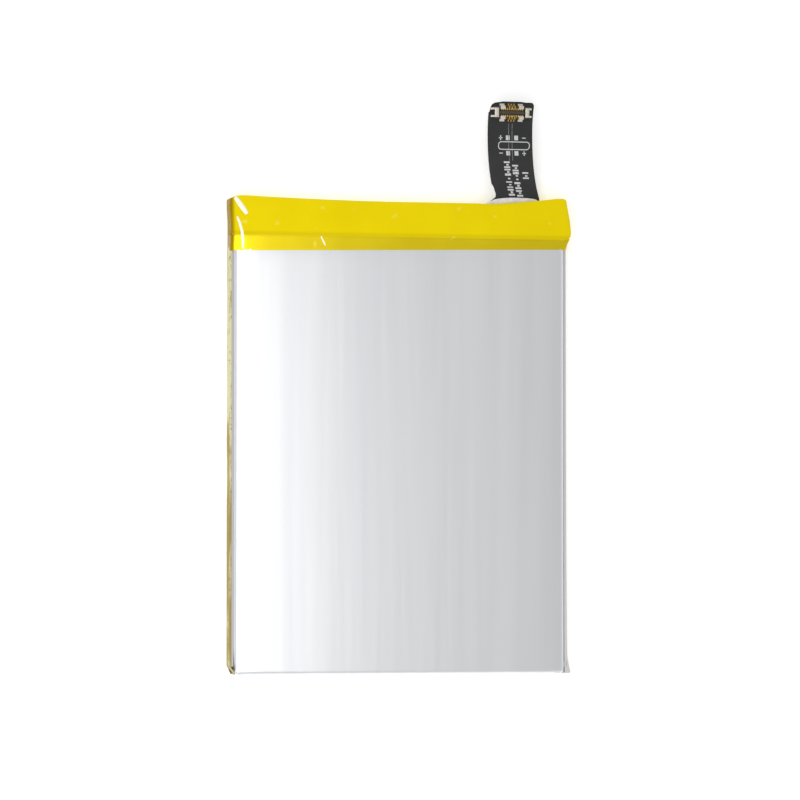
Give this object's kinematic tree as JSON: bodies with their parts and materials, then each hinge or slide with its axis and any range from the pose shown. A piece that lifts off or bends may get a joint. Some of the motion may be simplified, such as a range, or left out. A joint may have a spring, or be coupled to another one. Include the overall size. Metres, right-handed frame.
{
  "type": "pouch battery cell",
  "caption": "Slim lithium-ion polymer pouch cell with taped terrace, wound roll inside, and a flexible circuit tail that ends in a board-to-board connector.",
  "frame": {"origin": "centre of the pouch's flat back face, halfway along the cell without its tail", "axes": "+X across the cell's width, +Y along its length towards the taped terrace and the tail, +Z through its thickness towards the drawn front face"},
  "size_m": [0.0633, 0.103, 0.0072],
  "materials": {
    "pouch_laminate": "satin nylon-faced aluminium laminate",
    "wrap_tape": "glossy yellow polyimide-type tape",
    "side_tape": "translucent yellow tape",
    "flex_coverlay": "black coverlay, half gloss",
    "stiffener": "matt black stiffener",
    "connector_moulding": "moulded liquid crystal polymer",
    "gold_contact": "gold-plated copper alloy",
    "tinned_nail": "tinned copper alloy",
    "separator_film": "porous white film",
    "anode_coating": "graphite-coated copper foil",
    "cathode_coating": "oxide-coated aluminium foil",
    "roll_tape": "green roll tape",
    "tab_aluminium": "rolled aluminium",
    "nickel": "rolled nickel",
    "tab_sealant": "polypropylene sealing film",
    "insulating_paper": "insulating paper",
    "foam": "closed-cell foam",
    "circuit_board": "green solder mask",
    "chip_moulding": "moulded epoxy",
    "fuse_body": "green ceramic body",
    "chip_ceramic_dark": "glazed ceramic chip",
    "chip_ceramic_tan": "ceramic chip"
  },
  "bodies": {
    "cell": {"pouch_cup": "pouch_laminate", "pouch_back": "pouch_laminate", "left_side_tape": "side_tape", "right_side_tape": "side_tape", "top_wrap_tape": "wrap_tape", "tail_root": "flex_coverlay", "inner_separator": "separator_film", "anode_strip": "anode_coating", "outer_separator": "separator_film", "cathode_strip": "cathode_coating", "roll_end_tape": "roll_tape", "positive_tab": "tab_aluminium", "positive_tab_film_back": "tab_sealant", "positive_tab_film_front": "tab_sealant", "positive_plate": "nickel", "negative_tab": "nickel", "negative_tab_film_back": "tab_sealant", "negative_tab_film_front": "tab_sealant", "negative_plate": "nickel", "terrace_paper": "insulating_paper", "foam_pad": "foam", "pcm_board": "circuit_board", "cover_paper": "insulating_paper", "mosfet_left": "chip_moulding", "mosfet_right": "chip_moulding", "protection_ic": "chip_moulding", "fuse": "fuse_body", "thermistor": "chip_ceramic_dark", "resistor_1": "chip_ceramic_dark", "resistor_2": "chip_ceramic_dark", "resistor_3": "chip_ceramic_dark", "capacitor_1": "chip_ceramic_tan", "capacitor_2": "chip_ceramic_tan", "capacitor_3": "chip_ceramic_tan"},
    "tail_lower": {"tail_lower": "flex_coverlay"},
    "tail_upper": {"tail_upper": "flex_coverlay"},
    "connector_head": {"tail_head": "flex_coverlay", "head_stiffener": "stiffener", "connector_housing": "connector_moulding", "hold_down_left": "tinned_nail", "hold_down_right": "tinned_nail", "power_contact_1": "gold_contact", "power_contact_2": "gold_contact", "power_contact_3": "gold_contact", "power_contact_4": "gold_contact", "signal_contact_1": "gold_contact", "signal_contact_2": "gold_contact", "signal_contact_3": "gold_contact", "signal_contact_4": "gold_contact", "signal_contact_5": "gold_contact", "signal_contact_6": "gold_contact"}
  },
  "joints": [
    {"name": "root_bend", "type": "hinge", "parent": "cell", "child": "tail_lower", "pos_m": [0.022, 0.04315, 0.00212], "axis": [1, 0, 0], "range_deg": [-40, 60], "stiffness_Nm_per_rad": 0.004},
    {"name": "mid_bend", "type": "hinge", "parent": "tail_lower", "child": "tail_upper", "pos_m": [0.02028, 0.04927, 0.00459], "axis": [1, 0, 0], "range_deg": [-40, 60], "stiffness_Nm_per_rad": 0.004},
    {"name": "head_bend", "type": "hinge", "parent": "tail_upper", "child": "connector_head", "pos_m": [0.01975, 0.05514, 0.00584], "axis": [1, 0, 0], "range_deg": [-45, 45], "stiffness_Nm_per_rad": 0.004}
  ]
}
